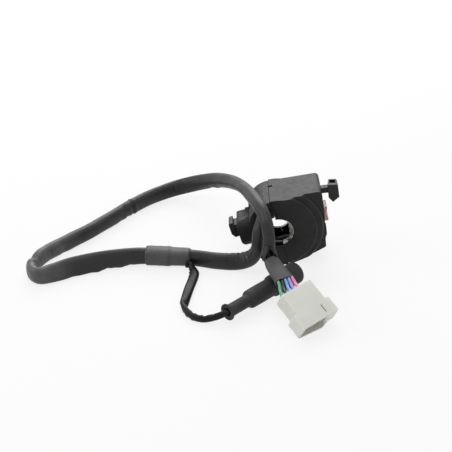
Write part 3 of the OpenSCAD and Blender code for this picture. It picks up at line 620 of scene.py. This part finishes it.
lead_rings, lead_line = sheath_rings(lead_route, LEAD_UP, sheath_thick, lead_kinks,
                                     fine=LEAD_FINE, pucker=0.7)
loop_rings, loop_line = sheath_rings(loop_route, UP, sheath_thick, loop_kinks,
                                     fine=LOOP_FINE, pucker=0.9)
branch_rings, branch_line = sheath_rings(branch_route, UP, branch_thick, branch_kinks,
                                         fine=BRANCH_FINE, pucker=1.1, corner=2.2, round_steps=32)
torn_side = unit(np.array([0.1, -0.85, 0.5]))
loop_rings = tuck_in(tear(loop_rings, torn_side, deep=9.5, reach=16), deep=20, wall=0.2)

lead_sheath = skin("lead_sheath", [lead_rings], vinyl, "casing", ["harness_lead"])
loop_sheath = skin("loop_sheath", [loop_rings], vinyl, "casing", ["harness_loop"])
branch_sheath = skin("branch_sheath", [branch_rings], thin_vinyl, "casing",
                     ["branch_lead"])


JUNCTION_FROM = np.array([-70.2, -19.6, TABLE_Z + 7.5])
JUNCTION_RUN = np.array([-35.6, 2.6, 0])
JUNCTION_WIDE, JUNCTION_HIGH = 6.9, 6.5
WIDE_STEP, HIGH_STEP, STEP_AT = 0.55, 0.65, 0.43
LAPS, LAP_RISE = 5.5, 0.144


def junction_wrap():
    """Wrapped junction: a rounded box along the run that steps up before the middle, thins at
    both ends, rises in laps of tape and has a dent."""
    s = np.linspace(0, 1, 90)
    line = JUNCTION_FROM + s[:, None]*JUNCTION_RUN
    _, wide, thin = ring_axes(line, UP, 90 + 0*s)
    step = 1/(1 + np.exp(-(s - STEP_AT)*70))
    end = 1 - 0.1*(bulge(s, 0, 0.02) + bulge(s, 1, 0.02))
    a, b = (JUNCTION_WIDE + WIDE_STEP*step)*end, (JUNCTION_HIGH + HIGH_STEP*step)*end
    rings, f, out = oval_rings(line, wide, thin, a, b, corner=2.7, round_steps=56)
    laps = LAP_RISE*((s*LAPS) % 1)
    dent = 0.3*bulge(s, 0.2, 0.12)[:, None]*bulge(f, 0.75*np.pi, 0.5)
    lift = laps[:, None] + 0.25*np.sin(s*9 + 1)[:, None]*np.cos(2*f + 0.6) - dent
    return skin("junction_wrap", [rings + out*lift[..., None]], tape, "casing",
                ["junction_sleeve"])


SLEEVE_WIDE, SLEEVE_WIDENS = 4.6, 3.3
SLEEVE_HIGH, SLEEVE_THINS = 3.5, 0.3
SLEEVE_HOLLOW = 6


def end_sleeve_shell():
    """Open sleeve: a flat oval that widens along the run, hollow at both ends, with a dent near
    its wide mouth."""
    q = smooth(end_route, 24)
    s = np.linspace(0, 1, len(q))
    _, wide, thin = ring_axes(q[:, :3], UP, q[:, 3])
    a, b = SLEEVE_WIDE + SLEEVE_WIDENS*s**0.7, SLEEVE_HIGH - SLEEVE_THINS*s
    rings, f, out = oval_rings(q[:, :3], wide, thin, a, b, corner=3.2, round_steps=56)
    dent = 0.7*bulge(s, 0.85, 0.2)[:, None]*bulge(f, 1.5*np.pi, 0.7)
    lift = 0.25*np.sin(s*7)[:, None]*np.cos(2*f) - dent
    rings = rings + out*lift[..., None]
    wide_open = tuck_in(rings, deep=SLEEVE_HOLLOW, wall=0.16)
    shell = tuck_in(wide_open[::-1], deep=SLEEVE_HOLLOW, wall=0.2)[::-1]
    return skin("end_sleeve_shell", [shell], sleeve_vinyl, "casing", ["end_sleeve"])


junction = junction_wrap()
sleeve = end_sleeve_shell()

# Wires between the sleeve and the connector
CONN_AT = np.array([15.7, -98.5, -16.5])
CONN_TURN = np.radians([27, -5, 41])
CONN_LEN = 30
WIRE_D = 2.4
WIRE_FROM = np.array([1.6, -74, -9.4])
WIRE_WAY = unit(np.array([10.0, -21, -4]))
SLEEVE_SIDE = np.array([0.89, 0.45, 0.06])
SLEEVE_PITCH = 2.9
SLEEVE_ROW = 1.25
PIN_PITCH = 3.9
PIN_MID = -3.5
PIN_ROW = 2.3
PIN_DEPTH = 3
WIRE_PUSH = 6
WIRE_PULL = 9
WIRE_HIDDEN = 4


def turned(a):
    """Direction of the connector's own frame: rolled about Y, then tipped about X, then swung
    about Z."""
    (ct, cr, cs), (st, sr, ss) = np.cos(CONN_TURN), np.sin(CONN_TURN)
    x, y, z = a[0]*cr + a[2]*sr, a[1], -a[0]*sr + a[2]*cr
    y, z = y*ct - z*st, y*st + z*ct
    return np.array([x*cs - y*ss, x*ss + y*cs, z])


def wire_line(k):
    """Cubic from the sleeve's mouth to a hole in the connector's back, with a short run inside
    the sleeve; 0 to 4 are the upper row, 5 to 8 the lower."""
    row, place = (1, k - 2) if k < 5 else (-1, k - 6.5)
    a = WIRE_FROM + SLEEVE_SIDE*place*SLEEVE_PITCH + UP*SLEEVE_ROW*row
    b = CONN_AT + turned([PIN_MID + place*PIN_PITCH, CONN_LEN/2 - PIN_DEPTH, PIN_ROW*row])
    start, push, pull = a - 0.3*WIRE_WAY, a + WIRE_PUSH*WIRE_WAY, b + WIRE_PULL*turned([0, 1, 0])
    t = np.linspace(0, 1, 40)[:, None]
    curve = start*(1 - t)**3 + 3*push*t*(1 - t)**2 + 3*pull*t**2*(1 - t) + b*t**3
    deep = np.linspace(WIRE_HIDDEN, 0.5, 8)[:, None]
    inside = a - WIRE_WAY*deep - SLEEVE_SIDE*place*0.16*deep
    return np.vstack([inside, curve])


wire_places = {"green": [0], "white": [5], "black": [1, 6], "blue": [2], "olive": [7],
               "navy": [8], "purple": [3], "pink": [4]}
wires = [skin("wire_run_" + tint, [tube_rings(wire_line(k), WIRE_D/2) for k in places],
              wire_finish[tint], "casing", ["wire_" + tint])
         for tint, places in wire_places.items()]

# Rubber boot on the branch: its outline is radius and distance along the boot
BOOT_AT = np.array([-40.9, -96.9, -21.8])
BOOT_TURN = math.radians(45)
BOOT_WAY = np.array([math.cos(BOOT_TURN), math.sin(BOOT_TURN), 0])
BOOT_SIDE = np.array([-BOOT_WAY[1], BOOT_WAY[0], 0])
boot_outline = [
    [3.4, 0.1], [6.1, 0], [6.4, 0.35], [6.35, 1.05], [5.9, 1.45], [4.95, 1.9], [4.85, 6],
    [4.85, 13], [4.8, 19.3], [5.15, 20.8], [6.2, 22], [6.8, 23], [7, 25], [7.15, 33], [7.2, 46],
    [7.6, 47.1], [8.3, 48], [8.5, 49.2], [8.55, 58], [8.5, 66], [8.7, 70], [8.7, 74],
    [8.4, 75.2], [7.7, 75.5], [7, 75], [6.95, 62], [6.95, 50.5], [6.6, 49.6], [5.7, 48],
    [5.65, 36], [5.65, 27], [4.6, 24], [2.9, 20], [2.85, 10], [2.85, 0.8]]


def boot_shell():
    """Turned shell: the outline of the boot goes up outside and comes back inside, as rings round
    the boot's axis that sag a little."""
    outline = smooth(boot_outline, 5)
    f = np.linspace(0, 2*np.pi, 64, endpoint=False)
    r, along = outline[:, 0], outline[:, 1]
    size = r[:, None] + 0.12*np.sin(along/6)[:, None]*np.cos(2*f + 0.5)
    rings = (BOOT_AT + along[:, None, None]*BOOT_WAY + (size*np.cos(f))[..., None]*BOOT_SIDE
             + (size*np.sin(f))[..., None]*UP)
    return skin("boot_shell", [rings], rubber, "casing", ["branch_boot"], wrap=True)


boot = boot_shell()

# Wires inside the casing and the four springs
INNER_RADIUS = 0.8
INNER_UP = np.array([0, 1, 0.2])
inner_routes = [
    [[-5, -7, 19], [0, -6.8, 20.6], [8, -6.6, 20.4], [14, -6.4, 18.6], [17.4, -6.2, 17]],
    [[-8, -7, 16.6], [-11.5, -6.5, 14.6], [-15.5, -4, 9], [-17.6, -1.6, 5], [-18.2, 0, 3]]]
inner_lines = [smooth([posed(*p) for p in route], 10) for route in inner_routes]
skin("inner_wire_runs", [tube_rings(line, INNER_RADIUS, INNER_UP) for line in inner_lines],
     inner_blue, "casing", ["inner_wires"])


def coil(name, foot, head, radius, wire, turns, body, node):
    """Helix from foot to head: a round wire carried round the axis, one closed turn at each
    end."""
    t = np.linspace(0, 1, turns*36 + 72)
    lead = np.clip((t*(turns + 2) - 1)/turns, 0, 1)
    long = np.linalg.norm(head - foot)
    axis = (head - foot)/long
    side = unit(np.cross(axis, [0.3, 0.9, 0.2]))
    other = np.cross(axis, side)
    angle = 2*np.pi*t[:, None]*(turns + 2)
    rise = wire + (long - 2*wire)*lead
    line = foot + rise[:, None]*axis + radius*(np.cos(angle)*side + np.sin(angle)*other)
    return skin(name, [tube_rings(line, wire, axis, 8)], spring_steel, body,
                [node])


coil("detent_coil", on_face(-8.75, 0, 15), on_face(-4.45, 0, 15), radius=1.2, wire=0.2, turns=4,
     body="lever", node="detent_spring")
coil("rocker_coil", on_face(-8.8, -1.5, -1), on_face(-6.25, -1.5, -1), radius=1.1, wire=0.2,
     turns=3, body="rocker", node="rocker_spring")

# In the switch these two shorten by the travel of their button, 2 of 7.1 and 2.5 of 4.8
# millimetres; here each only gets a mesh of its own
HORN_FOOT, HORN_HEAD = on_face(-11.5, -1.5, -18.5), on_face(-4.4, -1.5, -18.5)
horn_coil = coil("horn_coil", HORN_FOOT, HORN_HEAD, radius=2.8, wire=0.35, turns=4, body="horn",
                 node="horn_spring")
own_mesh(horn_coil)
PASS_HEAD, PASS_FOOT = posed(-28.2, 0, 3), posed(-23.4, 0, 3)
pass_coil = coil("pass_coil", PASS_FOOT, PASS_HEAD, radius=2.5, wire=0.25, turns=3,
                 body="trigger", node="trigger_spring")
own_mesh(pass_coil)

# Finishes of the parts that keep their own shape
own_finish = {
    housing: ["rear_case", "front_case", "trigger_pod"],
    control: ["turn_lever", "lever_knob", "horn_button", "pass_trigger"],
    hazard_red: ["hazard_rocker"],
    screw_steel: ["case_screws", "pod_screws", "plate_screws", "rocker_pin"],
    zinc: ["switch_plate"],
    spring_steel: ["detent_ball"],
    brass: ["turn_contact", "turn_terminals", "rocker_seesaw", "rocker_terminals", "horn_contact",
            "horn_terminals", "trigger_contact", "trigger_terminals", "connector_terminals"],
    phenolic: ["turn_base", "horn_base", "trigger_base"],
    nylon_black: ["rocker_frame", "branch_plug"],
    acetal: ["rocker_plunger"],
    rubber: ["cable_grommet"],
    milky: ["connector_shell"]}
for finish, names in own_finish.items():
    for name in names:
        nodes[name].data.materials.clear()
        nodes[name].data.materials.append(finish)

# Table, light and surroundings
TABLE_HALF = 6
TABLE_GLOW = 0.8
ROOM_LIGHT = 0.28
LIGHT_AIM = Vector((-0.06, 0, 0))
WHITE = (1, 1, 1, 1)


def seen_ray(tree):
    """One for rays from the camera, a gloss or a clear surface, and nought for the light that
    reaches the object."""
    path = add(tree, "ShaderNodeLightPath").outputs
    one = reckon(tree, "MAXIMUM", path["Is Camera Ray"], path["Is Glossy Ray"])
    return reckon(tree, "MAXIMUM", one, path["Is Transmission Ray"])


def table_top():
    """Flat pale table, a square grid of points in one plane, part of whose white is its own."""
    side = np.linspace(-TABLE_HALF, TABLE_HALF, 3)
    x, y = np.meshgrid(side, side)
    points = np.stack([x.ravel(), y.ravel(), 0*x.ravel() + TABLE_Z*MM], -1)
    i, j = np.meshgrid([0, 1], [0, 1], indexing="ij")
    corner = (3*i + j).ravel()
    faces = np.stack([corner, corner + 1, corner + 4, corner + 3], -1)
    mesh = bpy.data.meshes.new("table")
    mesh.from_pydata(points.tolist(), [], faces.tolist())
    white, tree, shader = start_finish("table_white", Base_Color=(0.88, 0.88, 0.88, 1),
                                       Roughness=0.9, Specular_IOR_Level=0.0)
    glow = add(tree, "ShaderNodeEmission", {"Color": WHITE, "Strength": 1.0})
    share = reckon(tree, "MULTIPLY", seen_ray(tree), TABLE_GLOW)
    both = add(tree, "ShaderNodeMixShader", {0: share, 1: shader.outputs[0], 2: glow.outputs[0]})
    tree.links.new(both.outputs[0], tree.nodes["Material Output"].inputs[0])
    mesh.materials.append(white)
    top = bpy.data.objects.new("table", mesh)
    scene.collection.objects.link(top)


def softbox(name, place, size, bright):
    """Square light of a brightness, turned to the object; its watts are brightness times pi times
    its area."""
    lamp = bpy.data.lights.new(name, "AREA")
    lamp.size = size
    lamp.energy = bright*math.pi*size*size
    light = bpy.data.objects.new(name, lamp)
    light.location = place
    light.rotation_mode = "QUATERNION"
    light.rotation_quaternion = (LIGHT_AIM - Vector(place)).to_track_quat("-Z", "Y")
    light.visible_camera = False
    scene.collection.objects.link(light)


def surroundings():
    """White room for what is seen, dimmer for the light it gives."""
    world = bpy.data.worlds.new("room")
    scene.world = world
    world.use_nodes = True
    tree = world.node_tree
    give = tree.nodes["Background"]
    give.inputs[0].default_value = WHITE
    give.inputs[1].default_value = ROOM_LIGHT
    show = add(tree, "ShaderNodeBackground", {0: WHITE, 1: 1.0})
    both = add(tree, "ShaderNodeMixShader",
               {0: seen_ray(tree), 1: give.outputs[0], 2: show.outputs[0]})
    tree.links.new(both.outputs[0], tree.nodes["World Output"].inputs[0])


table_top()
surroundings()
softbox("back_softbox", (-0.1, 1.1, 0.95), size=1.3, bright=3.0)
softbox("top_softbox", (-0.05, -0.3, 1.4), size=0.9, bright=2.0)
softbox("left_softbox", (-1.2, -0.1, 0.7), size=0.9, bright=2.0)
softbox("right_softbox", (1.1, -0.2, 0.6), size=0.7, bright=0.45)
